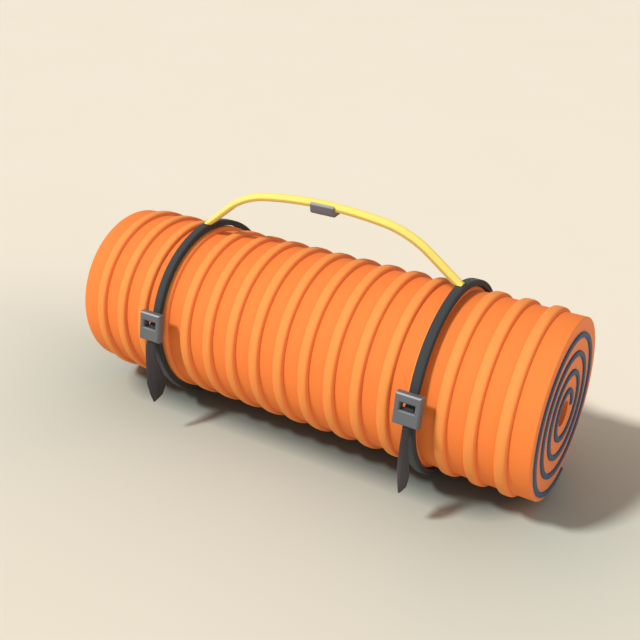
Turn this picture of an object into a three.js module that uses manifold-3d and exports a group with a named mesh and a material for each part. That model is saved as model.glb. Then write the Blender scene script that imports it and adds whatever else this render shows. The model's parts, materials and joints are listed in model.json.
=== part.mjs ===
// A foam sleeping mat, rolled up, held by two webbing straps with moulded buckles, and carried by
// a webbing handle with a clip-on grip. Millimetres, +Z up, X along the roll, -Y to the front.
// Angles round the roll are in degrees from the top, growing towards the front.
import * as THREE from "three";
import { mergeVertices } from "three/addons/utils/BufferGeometryUtils.js";
import Module from "manifold-3d";

const wasm = await Module();
wasm.setup();

// General clearances and counts
const fitGap = 0.3;
const cutOverrun = 1;
const facetAngle = 10;
const fullTurn = 360;

// The mat: an orange foam layer bonded to a blue backing, rolled with the backing inside. The
// tension of rolling pushes the backing out of both ends a little.
const matWidth = 550;
const rollRadius = 94;
const foamThickness = 13.1;
const backingThickness = 5.2;
const leastCoreRadius = 20;
const outerTurnInset = 5.06;
const coreOffsetBack = 1;
const coreOffsetDown = 1.2;
const boreWall = 8.5;
const boreOffsetFront = 2.5;
const boreOffsetDown = 3;
const foamStartAngle = -260;
const backingStartAngle = -95;
const lipEndAngle = 30;
const seamAngle = 195;
const endFoamThickness = 2.2;
const endBackingThickness = 3.4;
const endTaperAngle = 60;
const stepEaseAngle = 70;
const backingOverhang = 2;

// The ribs along the mat's outer face, which show as rings round the roll
const ribPitch = 30.8;
const ribEdgeMargin = 20;
const ribWidth = 12.8;
const ribHeight = 4;
const ribRoot = 0.4;
const ribShares = [
  [0.5, -ribRoot / ribHeight], [0.31, 0.86], [0, 1], [-0.31, 0.86], [-0.5, -ribRoot / ribHeight],
];

// The straps: webbing folded double along its length
const strapSpacing = 315;
const strapWidth = 10;
const strapThickness = 6.4;
const strapClearance = 0.7;
const strapLift = 1.7;
const strapLiftInner = 2.6;
const strapLiftAngle = 14;
const strapFlatDepth = 1;
const webbingThickness = 1.8;
const eyeFlapLength = 6.4;
const eyeTackWidth = 7;
const eyeTackHeight = 3.6;
const tackThickness = 0.6;

// The buckles: a moulded frame with a window, a fixed bar and a floating lock bar
const buckleAngle = 79.05;
const buckleWidth = 27.5;
const buckleHeight = 32;
const buckleDepth = 10;
const buckleBevel = 1.5;
const windowWidth = 16;
const windowHeight = 7.8;
const windowRise = 2.6;
const windowBevel = 1.4;
const pocketWidth = 21;
const frontPlate = 2.8;
const fixedBarRadius = 1.3;
const fixedBarDrop = 3.6;
const fixedBarDepth = 2.8;
const lockBarRadius = 1.5;
const lockBarDrop = 13;
const lockBarDepth = 3.2;
const lockBarEngage = 1;
const lockBarTravel = 1.2;

// The free tails, where the folded webbing opens out to its full width
const tailLength = 71;
const tailPoint = 21;
const tailShoulder = 12;
const tailNeckHalf = 3.5;
const tailNeckLength = 4.5;
const tailFold = 2.4;
const leftTail = {
  topHalf: 7.1, half: 10.6, yaw: 40, shift: 0.3, drift: 10.5, openStart: 11.7, openEnd: 50,
  shoulderShares: [-0.64, 0, 0.7], tipShare: -0.16,
};
const rightTail = {
  topHalf: 3.6, half: 10.6, yaw: -27, shift: 0.3, drift: 4.9, openStart: 5.8, openEnd: 60,
  shoulderShares: [-0.5, 0, 0.75], tipShare: 0,
};

// The carry handle and its clip-on grip
const handleWidth = 11;
const handleThickness = 7.5;
const handleChamfer = 4;
const handleHeight = 53.9;
const handleArcRadius = 488;
const handleCornerRadius = 109.4;
const handleLegAngle = 38.6;
const handleLegInset = 1.3;
const handleLean = 2.2;
const tabLength = 6.6;
const tackLength = 4.6;
const tackWidth = 2.4;
const gripLength = 26;
const gripWall = 1.7;
const gripDepth = 5;
const gripChamfer = 2.4;
const gripLipWidth = 1.1;
const gripOffset = 2.6;

// Worked out from the sizes above
const rad = THREE.MathUtils.degToRad;
const ribCrest = rollRadius + ribHeight;
const strapInner = ribCrest + strapClearance;
const strapOuter = strapInner + strapThickness;
const rollAxisHeight = strapOuter - strapFlatDepth;
const layerPitch = foamThickness + backingThickness + 2 * fitGap;
const wound = rollRadius - outerTurnInset - layerPitch * seamAngle / fullTurn;
const wholeTurns = Math.floor((wound - leastCoreRadius) / layerPitch);
const coreRadius = wound - layerPitch * wholeTurns;
const boreRadius = coreRadius - boreWall;
const matEndAngle = seamAngle + fullTurn * wholeTurns;
const stepAngle = matEndAngle - fullTurn;
const ribsPerSide = Math.floor(((matWidth - ribWidth) / 2 - ribEdgeMargin) / ribPitch);
const stepDepth = endFoamThickness + endBackingThickness + 2 * fitGap;
const strapTop = strapOuter + strapLift;
const handleReach = strapSpacing / 2 - handleLegInset;
const handleEnd = (strapSpacing - strapWidth) / 2 - fitGap;
const hingeRise = (handleReach - handleEnd) * Math.tan(rad(handleLegAngle));
const hingeHeight = strapTop + hingeRise;

// Plane points are (y, z) about the roll's axis
const ray = (angle) => new THREE.Vector2(-Math.sin(rad(angle)), Math.cos(rad(angle)));
const spiralCentre = new THREE.Vector2(coreOffsetBack, -coreOffsetDown);
const boreCentre = new THREE.Vector2(-boreOffsetFront, -boreOffsetDown);
const polar = (centre, radius, angle) => ray(angle).multiplyScalar(radius).add(centre);
const rollAxis = new THREE.Vector2();
const ease = (t) => THREE.MathUtils.smoothstep(t, 0, 1);

// Distance from the spiral's centre to a circle, along the ray at an angle
function reach(circleCentre, radius, angle) {
  const from = spiralCentre.clone().sub(circleCentre);
  const along = from.dot(ray(angle));
  return -along + Math.sqrt(radius ** 2 - from.lengthSq() + along ** 2);
}

// Half the backing's thickness, thinner towards the mat's outer end
function halfBacking(angle) {
  const taper = ease((angle - (matEndAngle - endTaperAngle)) / endTaperAngle);
  return THREE.MathUtils.lerp(backingThickness, endBackingThickness, taper) / 2;
}

// Middle of the backing: an even spiral, held inside the round outline where it would leave it
function backingMiddle(angle) {
  const even = coreRadius + layerPitch * angle / fullTurn;
  const held = reach(rollAxis, rollRadius, angle) - endFoamThickness - fitGap - halfBacking(angle);
  return Math.min(even, held);
}

// Radius of the outside of the roll over its last turn, with the low step past the mat's end
const skinRadius = (angle) => rollRadius - stepDepth * (1 - ease((angle - stepAngle) / stepEaseAngle));
const skin = (angle) => polar(rollAxis, skinRadius(angle), angle);

// Outside of the foam, which is the next turn's backing or, on the last turn, the open air
function foamOutside(angle) {
  const next = angle + fullTurn;
  return polar(spiralCentre, backingMiddle(next) - halfBacking(next) - fitGap, angle);
}

// Angles from one to another at the shared facets, with both ends included
function sweep(from, to) {
  const angles = [from];
  const sign = Math.sign(to - from);
  const first = Math.round(from / facetAngle) * facetAngle;
  for (let a = first; sign * (to - a) > facetAngle / 3; a += sign * facetAngle) {
    if (sign * (a - from) > facetAngle / 3) angles.push(a);
  }
  angles.push(to);
  return angles;
}

// Turns a shape in the (y, z) plane into a solid of a given length along X, centred on x
function extrudeAlongX(points, length, x, holes = []) {
  const shape = new THREE.Shape(points);
  shape.holes = holes.map((hole) => new THREE.Path(hole));
  const solid = new THREE.ExtrudeGeometry(shape, { depth: length, bevelEnabled: false });
  const axes = new THREE.Matrix4().makeBasis(
    new THREE.Vector3(0, 1, 0), new THREE.Vector3(0, 0, 1), new THREE.Vector3(1, 0, 0));
  return solid.applyMatrix4(axes).translate(x - length / 2, 0, 0);
}

// Joins rings of points, each with the same count, into one closed body
function loft(rings) {
  const count = rings[0].length;
  const position = rings.flat().flatMap((p) => p.toArray());
  const index = [];
  for (let r = 0; r < rings.length - 1; r += 1) {
    for (let i = 0; i < count; i += 1) {
      const a = r * count + i;
      const b = r * count + (i + 1) % count;
      index.push(a, b, b + count, a, b + count, a + count);
    }
  }
  const last = (rings.length - 1) * count;
  for (let i = 1; i < count - 1; i += 1) {
    index.push(0, i + 1, i, last, last + i, last + i + 1);
  }
  const geometry = new THREE.BufferGeometry();
  geometry.setAttribute("position", new THREE.Float32BufferAttribute(position, 3));
  geometry.setIndex(index);
  return geometry;
}

// Between geometry and manifold solids
function toSolid(geometry) {
  const bare = geometry.clone();
  bare.deleteAttribute("normal");
  bare.deleteAttribute("uv");
  const merged = mergeVertices(bare);
  return new wasm.Manifold(new wasm.Mesh({
    numProp: 3,
    vertProperties: new Float32Array(merged.attributes.position.array),
    triVerts: new Uint32Array(merged.index.array),
  }));
}

function toGeometry(solid) {
  const mesh = solid.getMesh();
  const geometry = new THREE.BufferGeometry();
  geometry.setAttribute("position", new THREE.Float32BufferAttribute(mesh.vertProperties, 3));
  geometry.setIndex(Array.from(mesh.triVerts));
  return geometry;
}

const finishes = {
  foam: { color: 0xff9046, roughness: 0.85, metalness: 0 },
  backing: { color: 0x46607a, roughness: 0.85, metalness: 0 },
  strap: { color: 0x3c4042, roughness: 0.8, metalness: 0 },
  tail: { color: 0x3e3838, roughness: 0.8, metalness: 0 },
  buckle: { color: 0x707476, roughness: 0.5, metalness: 0 },
  steel: { color: 0xa8aaac, roughness: 0.35, metalness: 0.9 },
  handle: { color: 0xfff07c, roughness: 0.75, metalness: 0 },
  darkThread: { color: 0x2e3032, roughness: 0.8, metalness: 0 },
  paleThread: { color: 0xd8c05a, roughness: 0.7, metalness: 0 },
  grip: { color: 0x74747a, roughness: 0.5, metalness: 0 },
};

const mat = new THREE.Group();
mat.name = "foam_sleeping_mat";

function addPiece(name, geometry, finish, parent = mat) {
  const flat = geometry.index ? geometry.toNonIndexed() : geometry;
  flat.computeVertexNormals();
  const piece = new THREE.Mesh(flat, new THREE.MeshStandardMaterial(finishes[finish]));
  piece.name = name;
  parent.add(piece);
  return piece;
}

// The foam layer: a spiral from the bore to the skived outer end, and the ribs on its last turn
function foamOutline() {
  const outside = sweep(foamStartAngle, stepAngle).map(foamOutside);
  const open = sweep(stepAngle, matEndAngle).slice(1).map(skin);
  const inside = sweep(matEndAngle, backingStartAngle).map(
    (a) => polar(spiralCentre, backingMiddle(a) + halfBacking(a) + fitGap, a));
  const lip = sweep(backingStartAngle, lipEndAngle).map(
    (a) => polar(spiralCentre, backingMiddle(a) - halfBacking(a) - fitGap, a));
  const bore = sweep(lipEndAngle, foamStartAngle).map(
    (a) => polar(spiralCentre, reach(boreCentre, boreRadius, a), a));
  return [...outside, ...open, ...inside, ...lip, ...bore];
}

function rib(x) {
  const angles = sweep(stepAngle + facetAngle / 2, matEndAngle - facetAngle / 5);
  return loft(angles.map((angle) => ribShares.map(([across, up]) => {
    const point = polar(rollAxis, skinRadius(angle) + up * ribHeight, angle);
    return new THREE.Vector3(x + across * ribWidth, point.x, point.y);
  })));
}

function foam() {
  let solid = toSolid(extrudeAlongX(foamOutline(), matWidth, 0));
  for (let i = -ribsPerSide; i <= ribsPerSide; i += 1) {
    solid = solid.add(toSolid(rib(i * ribPitch)));
  }
  return toGeometry(solid);
}

// The backing layer, one turn-long strip inside the foam
function backing() {
  const first = backingStartAngle + THREE.MathUtils.radToDeg(fitGap / coreRadius);
  const angles = sweep(first, matEndAngle);
  const outside = angles.map((a) => polar(spiralCentre, backingMiddle(a) + halfBacking(a), a));
  const inside = angles.map((a) => polar(spiralCentre, backingMiddle(a) - halfBacking(a), a)).reverse();
  return extrudeAlongX([...outside, ...inside], matWidth + 2 * backingOverhang, 0);
}

// A point of the buckle's own frame: out from the strap's face, and up along the strap
const buckleOut = ray(buckleAngle);
const buckleUp = new THREE.Vector2(-buckleOut.y, buckleOut.x).negate();
const buckleRoot = buckleOut.clone().multiplyScalar(strapOuter);
const atBuckle = (out, up) => buckleRoot.clone().addScaledVector(buckleOut, out).addScaledVector(buckleUp, up);

// A ribbon's outline in the (y, z) plane, from middle points with a half thickness each
function ribbon(stops) {
  const sides = [[], []];
  stops.forEach(({ point, half }, i) => {
    const before = stops[Math.max(i - 1, 0)].point;
    const after = stops[Math.min(i + 1, stops.length - 1)].point;
    const along = after.clone().sub(before).normalize();
    const across = new THREE.Vector2(-along.y, along.x).multiplyScalar(half);
    sides[0].push(point.clone().add(across));
    sides[1].push(point.clone().sub(across));
  });
  return [...sides[0], ...sides[1].reverse()];
}

// The strap's stops: the sewn eye on the fixed bar, the run round the roll, and the turn over the lock bar
const eyeRadius = fixedBarRadius + fitGap + webbingThickness / 2;
const turnRadius = lockBarRadius + fitGap + webbingThickness / 2;
const tailDepth = lockBarDepth + turnRadius;

function arcStops(out, up, radius, from, to, steps) {
  const stops = [];
  for (let i = 0; i <= steps; i += 1) {
    const angle = rad(THREE.MathUtils.lerp(from, to, i / steps));
    const point = atBuckle(out + radius * Math.cos(angle), up + radius * Math.sin(angle));
    stops.push({ point, half: webbingThickness / 2 });
  }
  return stops;
}

function strapRadii(angle) {
  const lift = Math.exp(-((angle / strapLiftAngle) ** 2));
  const flat = rollAxisHeight / Math.max(Math.cos(rad(angle + 180)), Number.EPSILON);
  const outer = Math.min(strapOuter + strapLift * lift, flat);
  return { outer, inner: strapInner + strapLiftInner * lift };
}

const flapOut = fitGap + webbingThickness / 2;

function strapStops() {
  const half = webbingThickness / 2;
  const blend = (share, up) => {
    const thick = THREE.MathUtils.lerp(webbingThickness, strapThickness, share) / 2;
    const sag = strapOuter - Math.sqrt(strapOuter ** 2 - up ** 2);
    return { point: atBuckle(-thick - sag, up), half: thick };
  };
  const flap = [eyeFlapLength, fixedBarDrop * 0.7].map((up) => ({ point: atBuckle(flapOut, up), half }));
  const eye = arcStops(fixedBarDepth, -fixedBarDrop, eyeRadius, 60, -180, 9);
  const turn = arcStops(lockBarDepth, lockBarTravel - lockBarDrop, turnRadius, 180, 0, 7);
  const flatAngle = THREE.MathUtils.radToDeg(Math.acos(rollAxisHeight / strapOuter));
  const edge = THREE.MathUtils.radToDeg(Math.asin(0.62 * buckleHeight / strapOuter));
  const angles = [
    ...sweep(buckleAngle - edge, -180 + flatAngle), -180,
    ...sweep(-180 - flatAngle, buckleAngle + edge - fullTurn),
  ];
  const run = angles.map((angle) => {
    const { outer, inner } = strapRadii(angle);
    return { point: polar(rollAxis, (outer + inner) / 2, angle), half: (outer - inner) / 2 };
  });
  return [
    ...flap, ...eye, blend(0, buckleHeight / 15), blend(0.35, buckleHeight / 4),
    ...run,
    blend(0.4, -buckleHeight * 0.56),
    { point: atBuckle(lockBarDepth - turnRadius - half / 2, -lockBarDrop - lockBarRadius / 2), half },
    ...turn, { point: atBuckle(tailDepth, -buckleHeight / 2 - fitGap), half },
  ];
}

const strap = (x) => extrudeAlongX(ribbon(strapStops()), strapWidth, x);

// Places a solid made in (x, up, out) axes about the buckle's root at x
function seatOnBuckle(geometry, x) {
  const axes = new THREE.Matrix4().makeBasis(
    new THREE.Vector3(1, 0, 0), new THREE.Vector3(0, buckleUp.x, buckleUp.y),
    new THREE.Vector3(0, buckleOut.x, buckleOut.y));
  return geometry.applyMatrix4(axes).translate(x, buckleRoot.x, buckleRoot.y);
}

function blockAt(width, height, depth, x, up, out) {
  return new THREE.BoxGeometry(width, height, depth).translate(x, up, out);
}

// A bar across the buckle, with its middle at (up, out)
function barAt(radius, length, up, out, sides = 16) {
  return new THREE.CylinderGeometry(radius, radius, length, sides).rotateZ(Math.PI / 2).translate(0, up, out);
}

function frameBlock() {
  const w = buckleWidth / 2 - buckleBevel;
  const h = buckleHeight / 2 - buckleBevel;
  const corners = [[-w, -h], [w, -h], [w, h], [-w, h]];
  const outline = new THREE.Shape(corners.map(([x, up]) => new THREE.Vector2(x, up)));
  const block = new THREE.ExtrudeGeometry(outline, {
    depth: buckleDepth - 2 * buckleBevel,
    bevelSize: buckleBevel, bevelThickness: buckleBevel, bevelSegments: 1,
  });
  return block.translate(0, 0, fitGap + buckleBevel);
}

// The bevel round the window's mouth: a block whose inner face is the window's own size
function windowMouth() {
  const mouth = blockAt(windowWidth, windowHeight, windowBevel + cutOverrun, 0, 0, 0);
  const spots = mouth.attributes.position;
  const grow = windowBevel + cutOverrun;
  for (let i = 0; i < spots.count; i += 1) {
    if (spots.getZ(i) > 0) {
      spots.setX(i, spots.getX(i) + Math.sign(spots.getX(i)) * grow);
      spots.setY(i, spots.getY(i) + Math.sign(spots.getY(i)) * grow);
    }
  }
  return mouth.translate(0, windowRise, fitGap + buckleDepth - windowBevel + grow / 2);
}

function buckleFrame(x) {
  const top = windowRise - windowHeight / 2;
  const pocketDepth = buckleDepth - frontPlate;
  const pocketHeight = buckleHeight / 2 + top + cutOverrun;
  const slotHeight = 2 * (lockBarRadius + fitGap) + lockBarTravel;
  const slotWidth = pocketWidth + 2 * (lockBarEngage + fitGap);
  const cuts = [
    blockAt(windowWidth, windowHeight, buckleDepth + 2 * cutOverrun, 0, windowRise, fitGap + buckleDepth / 2),
    windowMouth(),
    blockAt(pocketWidth, pocketHeight, pocketDepth + cutOverrun, 0,
      top - pocketHeight / 2, fitGap + (pocketDepth - cutOverrun) / 2),
    blockAt(slotWidth, slotHeight, 2 * (lockBarRadius + fitGap), 0,
      lockBarTravel / 2 - lockBarDrop, lockBarDepth),
  ];
  let solid = toSolid(frameBlock());
  for (const cut of cuts) solid = solid.subtract(toSolid(cut));
  solid = solid.add(toSolid(barAt(fixedBarRadius, pocketWidth + cutOverrun, -fixedBarDrop, fixedBarDepth)));
  return seatOnBuckle(toGeometry(solid), x);
}

function lockBar(x) {
  return seatOnBuckle(barAt(lockBarRadius, pocketWidth + 2 * lockBarEngage, -lockBarDrop, lockBarDepth), x);
}

// The stitching that closes the strap's eye, on the flap behind the buckle's window
function eyeTack(x) {
  const out = flapOut + (webbingThickness + tackThickness) / 2 + fitGap;
  const up = (eyeFlapLength + fixedBarDrop * 0.7) / 2;
  return seatOnBuckle(blockAt(eyeTackWidth, eyeTackHeight, tackThickness, 0, up, out), x);
}

// A tail: a strip with a narrow neck that goes on along the buckle's face, with a crease down its
// middle. It opens out, turns and drifts sideways on its way down, and is cut to a point.
function tail(x, { topHalf, half, yaw, shift, drift, openStart, openEnd, shoulderShares, tipShare }) {
  const start = -buckleHeight / 2 - 2 * fitGap;
  const cut = tailLength - tailPoint;
  const tipHalfShare = webbingThickness / 2 / half;
  const roundTop = [60, 30, 0].map((a) => ({
    drop: webbingThickness / 2 * (1 - Math.sin(rad(a))), share: Math.cos(rad(a)), stations: [-1, 0, 1],
  }));
  const strip = [tailNeckLength, cut * 0.3, cut * 0.55, cut * 0.78, cut].map(
    (drop) => ({ drop, share: 1, stations: [-1, 0, 1] }));
  const point = [
    { drop: cut + tailShoulder, share: 1, stations: shoulderShares },
    { drop: tailLength, share: 1, stations: [tipShare - tipHalfShare, tipShare, tipShare + tipHalfShare] },
  ];
  const rings = [...roundTop, ...strip, ...point].map(({ drop, share, stations }) => {
    const open = ease((drop - openStart) / (openEnd - openStart));
    const neck = Math.min(drop / tailNeckLength, 1);
    const turn = rad(yaw * open);
    const width = THREE.MathUtils.lerp(THREE.MathUtils.lerp(tailNeckHalf, topHalf, neck), half, open);
    const place = (side, face) => {
      const across = side * width;
      const out = face + tailFold * open * (0.5 - Math.abs(side));
      return new THREE.Vector3(
        shift + drift * open + across * Math.cos(turn) + out * Math.sin(turn),
        start - drop,
        tailDepth - across * Math.sin(turn) + out * Math.cos(turn));
    };
    const w = share * webbingThickness / 2;
    const back = stations.map((side) => place(side, -w));
    return [...stations.map((side) => place(side, w)).reverse(), ...back];
  });
  return seatOnBuckle(loft(rings), x);
}

// The handle's arch, in its own plane: half of it as (x, height above the straps) with its slope.
// An even arc goes over into a corner and a straight leg, whose line meets the strap's top.
function handleArch() {
  const slope = rad(handleLegAngle);
  const spare = handleArcRadius - handleCornerRadius;
  const across = handleReach - handleCornerRadius * Math.sin(slope);
  const down = handleHeight - handleArcRadius + handleCornerRadius * Math.cos(slope);
  const middle = across * Math.cos(slope) + down * Math.sin(slope);
  const leg = middle + Math.sqrt(middle ** 2 - across ** 2 - down ** 2 + spare ** 2);
  const turn = Math.atan2(across - leg * Math.cos(slope), leg * Math.sin(slope) - down);
  const spots = [];
  const arcSteps = 6;
  for (let i = 0; i <= arcSteps; i += 1) {
    const a = turn * i / arcSteps;
    spots.push({
      x: handleArcRadius * Math.sin(a),
      h: handleHeight - handleArcRadius * (1 - Math.cos(a)), slope: a,
    });
  }
  const cornerSteps = 6;
  const knee = spots[arcSteps];
  for (let i = 1; i <= cornerSteps; i += 1) {
    const a = THREE.MathUtils.lerp(turn, slope, i / cornerSteps);
    spots.push({
      x: knee.x + handleCornerRadius * (Math.sin(a) - Math.sin(turn)),
      h: knee.h - handleCornerRadius * (Math.cos(turn) - Math.cos(a)), slope: a,
    });
  }
  return spots;
}

// The handle's section across its webbing, which is folded round a soft core: (back, up)
function handleSection() {
  const w = handleWidth / 2;
  const t = handleThickness / 2;
  const c = handleChamfer;
  return [[-w, -t], [w, -t], [w, t - c], [w - c, t], [-w + c, t], [-w, t - c]];
}

// A ring of the handle at a spot, square to its slope or cut upright at a strap's edge
function handleRing({ x, h, slope }, upright = false) {
  const lean = upright ? 0 : Math.sin(slope);
  const rise = upright ? 1 / Math.cos(slope) : Math.cos(slope);
  return handleSection().map(([back, up]) => new THREE.Vector3(x + up * lean, back, h + up * rise));
}

// The leaning frame of the handle, with its foot on the hinge line
const handleFrame = new THREE.Group();
handleFrame.position.set(0, 0, hingeHeight);
handleFrame.rotation.x = rad(handleLean);
mat.add(handleFrame);

function handleWebbing() {
  const slope = rad(handleLegAngle);
  const side = handleArch();
  const mirrored = side.slice(1).reverse().map(({ x, h, slope: lean }) => ({ x: -x, h, slope: -lean }));
  const rings = [
    handleRing({ x: -handleEnd, h: hingeRise, slope: -slope }, true),
    ...[...mirrored, ...side].map((spot) => handleRing(spot)),
    handleRing({ x: handleEnd, h: hingeRise, slope }, true),
  ];
  return loft(rings).translate(0, 0, -hingeRise);
}

// The end of the handle that lies on the strap: its leg goes on at the same slope and is cut flat
function handleTab(side) {
  const slope = side * rad(handleLegAngle);
  const ends = [handleEnd + 2 * fitGap, handleEnd + 2 * fitGap + tabLength].map((x) => handleRing(
    { x: side * x, h: (handleReach - x) * Math.tan(rad(handleLegAngle)), slope }, true));
  const leg = loft(side > 0 ? ends : ends.reverse());
  const depth = 2 * handleThickness;
  const under = new THREE.BoxGeometry(strapSpacing, 2 * handleWidth, depth).translate(
    side * strapSpacing / 2, 0, fitGap - depth / 2);
  return toGeometry(toSolid(leg).subtract(toSolid(under))).translate(0, 0, strapTop);
}

// The stitching along the top of the handle's end
function barTack(side) {
  const along = handleEnd + 2 * fitGap + tabLength / 2;
  const off = (handleThickness + tackThickness) / 2 + fitGap;
  const slope = rad(handleLegAngle);
  return new THREE.BoxGeometry(tackLength, tackWidth, tackThickness).rotateY(side * slope).translate(
    side * (along + off * Math.sin(slope)), 0,
    strapTop + (handleReach - along) * Math.tan(slope) + off * Math.cos(slope));
}

// The grip's section about the webbing's middle: across (back is positive) and up. It holds the
// webbing from below, and its front wall has a lip over the webbing's chamfer.
function gripSection() {
  const clear = 2 * fitGap;
  const w = handleWidth / 2 + clear;
  const seat = -handleThickness / 2 - clear;
  const low = seat - gripDepth;
  const outer = w + gripWall;
  const c = gripChamfer;
  const shoulder = handleThickness / 2 - handleChamfer + fitGap;
  const lip = shoulder + gripLipWidth;
  return [
    [w, seat], [w, shoulder], [w + gripWall / 2, shoulder], [outer, shoulder - gripWall / 2],
    [outer, low + c], [outer - c, low], [-outer + c, low], [-outer, low + c],
    [-outer, shoulder], [-outer + gripWall * 0.8, lip + gripLipWidth],
    [-w + gripLipWidth * 0.6, lip + gripLipWidth * 0.7],
    [-w + gripLipWidth, lip], [-w, shoulder], [-w, seat],
  ].map(([across, up]) => new THREE.Vector2(across, up));
}

// The foam mat
addPiece("mat_foam", foam(), "foam");
addPiece("mat_backing", backing(), "backing");

// A strap, its tail and its buckle on each side
const sides = [["left", -1, leftTail], ["right", 1, rightTail]];
for (const [name, side, tailForm] of sides) {
  const x = side * strapSpacing / 2;
  addPiece(`${name}_strap`, strap(x), "strap");
  addPiece(`${name}_strap_tail`, tail(x, tailForm), "tail");
  addPiece(`${name}_buckle_frame`, buckleFrame(x), "buckle");
  addPiece(`${name}_lock_bar`, lockBar(x), "steel");
  addPiece(`${name}_eye_tack`, eyeTack(x), "darkThread");
  addPiece(`${name}_handle_tab`, handleTab(side), "handle");
  addPiece(`${name}_bar_tack`, barTack(side), "paleThread");
}

// The handle, with the grip on the even arc of its webbing
addPiece("handle_webbing", handleWebbing(), "handle", handleFrame);
const grip = addPiece("handle_grip", extrudeAlongX(gripSection(), gripLength, 0), "grip", handleFrame);
const gripAngle = Math.asin(gripOffset / handleArcRadius);
grip.position.set(gripOffset, 0, handleHeight - hingeRise - handleArcRadius * (1 - Math.cos(gripAngle)));
grip.rotation.y = gripAngle;

// Stand the part on its straps, centred over the origin
const footprint = new THREE.Box3().setFromObject(mat, true);
mat.position.set(0, -(footprint.min.y + footprint.max.y) / 2, rollAxisHeight);

export default mat;
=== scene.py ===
"""A foam sleeping mat, rolled up, with its straps, buckles, carry handle and clip-on grip.

Metres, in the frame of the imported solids: X along the roll, +Z up, -Y to the front. Angles round
the roll are in degrees from its top, growing towards the front. Each section below is one piece
or one group of like pieces, in the order in which the real mat is put together.
"""
import json
import math

import bmesh
import bpy
from mathutils import Matrix, Vector

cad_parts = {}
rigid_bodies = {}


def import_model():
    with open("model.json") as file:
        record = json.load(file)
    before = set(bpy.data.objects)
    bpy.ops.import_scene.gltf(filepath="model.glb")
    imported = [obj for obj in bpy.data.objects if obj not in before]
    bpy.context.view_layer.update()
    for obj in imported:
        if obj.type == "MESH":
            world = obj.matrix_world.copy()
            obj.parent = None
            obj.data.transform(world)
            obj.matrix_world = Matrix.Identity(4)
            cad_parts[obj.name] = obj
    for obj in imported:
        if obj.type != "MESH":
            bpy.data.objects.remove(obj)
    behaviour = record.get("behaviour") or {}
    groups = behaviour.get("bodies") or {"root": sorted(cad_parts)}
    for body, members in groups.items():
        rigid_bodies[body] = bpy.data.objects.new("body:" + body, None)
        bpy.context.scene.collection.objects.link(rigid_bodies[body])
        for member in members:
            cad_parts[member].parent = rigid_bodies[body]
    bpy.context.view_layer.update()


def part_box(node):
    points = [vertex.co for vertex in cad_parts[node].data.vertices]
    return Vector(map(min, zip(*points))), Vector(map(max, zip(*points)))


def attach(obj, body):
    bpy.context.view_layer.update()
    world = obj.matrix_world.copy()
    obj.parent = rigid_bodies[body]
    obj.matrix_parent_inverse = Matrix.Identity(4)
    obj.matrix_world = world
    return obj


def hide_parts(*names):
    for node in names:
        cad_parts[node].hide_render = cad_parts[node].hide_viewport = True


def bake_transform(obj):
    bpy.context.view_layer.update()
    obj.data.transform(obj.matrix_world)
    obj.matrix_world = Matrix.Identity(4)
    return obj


for leftover in list(bpy.data.objects):
    bpy.data.objects.remove(leftover)
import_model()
bpy.ops.object.select_all(action="DESELECT")


# The mat's outer layer: closed-cell polyethylene foam about 13 mm thick. It is hot pressed, which
# gives it a fine matte skin and ribs along its outer face, and then cut square and rolled up.
# The last turn's outside shows the ribs as rings, and the cut ends show the layers as a spiral.
mm = 0.001
full_turn = 360
mat_width = 550 * mm
roll_radius = 94 * mm
foam_thickness = 13.1 * mm
backing_thickness = 5.2 * mm
layer_gap = 0.3 * mm
core_radius = 22 * mm
spiral_centre = Vector((1 * mm, -1.2 * mm))
bore_radius = 13.5 * mm
bore_centre = Vector((-2.5 * mm, -3 * mm))
roll_middle = Vector((0, 0))
foam_start = -260
backing_start = -95
lip_end = 30
mat_end = 1275
step_start = mat_end - full_turn
end_foam = 2.2 * mm
end_backing = 3.4 * mm
end_taper = 60
step_ease = 70
layer_pitch = foam_thickness + backing_thickness + 2 * layer_gap
step_depth = end_foam + end_backing + 2 * layer_gap
rib_pitch = 30.8 * mm
ribs_per_side = 8
rib_half = 6.4 * mm
rib_height = 4 * mm
rib_flat_top = 5
rib_round_side = 0.6
rib_rise_angle = 8
rib_crease = 0.6 * mm
skin_tone = 0.5
rim = 0.9 * mm
inner_step = 5
skin_step = 2.5
end_facing = 0.9
foam_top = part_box("mat_foam")[1]
foam_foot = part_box("mat_foam")[0]
roll_place = Vector((0, (foam_top.y + foam_foot.y) / 2, foam_top.z - roll_radius - rib_height))


def ray(angle):
    """The direction away from the roll's middle at an angle, as (y, z)."""
    turn = math.radians(angle)
    return Vector((-math.sin(turn), math.cos(turn)))


def reach(middle, radius, angle):
    """Distance from the spiral's centre to a circle, along the ray at an angle."""
    start = spiral_centre - middle
    along = start.dot(ray(angle))
    return -along + math.sqrt(radius ** 2 - start.length_squared + along ** 2)


def ease(share):
    """A smooth step from 0 to 1."""
    share = min(max(share, 0), 1)
    return share * share * (3 - 2 * share)


def mix(a, b, share):
    return a + (b - a) * share


def half_backing(angle):
    """Half the backing's thickness, thinner towards the mat's outer end."""
    return mix(backing_thickness, end_backing, ease((angle - mat_end + end_taper) / end_taper)) / 2


def backing_middle(angle):
    """Radius of the backing's middle: an even spiral, held inside the roll's round outline."""
    held = reach(roll_middle, roll_radius, angle) - end_foam - layer_gap - half_backing(angle)
    return min(core_radius + layer_pitch * angle / full_turn, held)


def skin_radius(angle):
    """Radius of the last turn's outside, which starts a step lower, past the mat's end."""
    return roll_radius - step_depth * (1 - ease((angle - step_start) / step_ease))


def foam_outside(angle):
    """The outside of an inner turn, which lies against the next turn's backing."""
    radius = backing_middle(angle + full_turn) - half_backing(angle + full_turn) - layer_gap
    return spiral_centre + radius * ray(angle)


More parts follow.
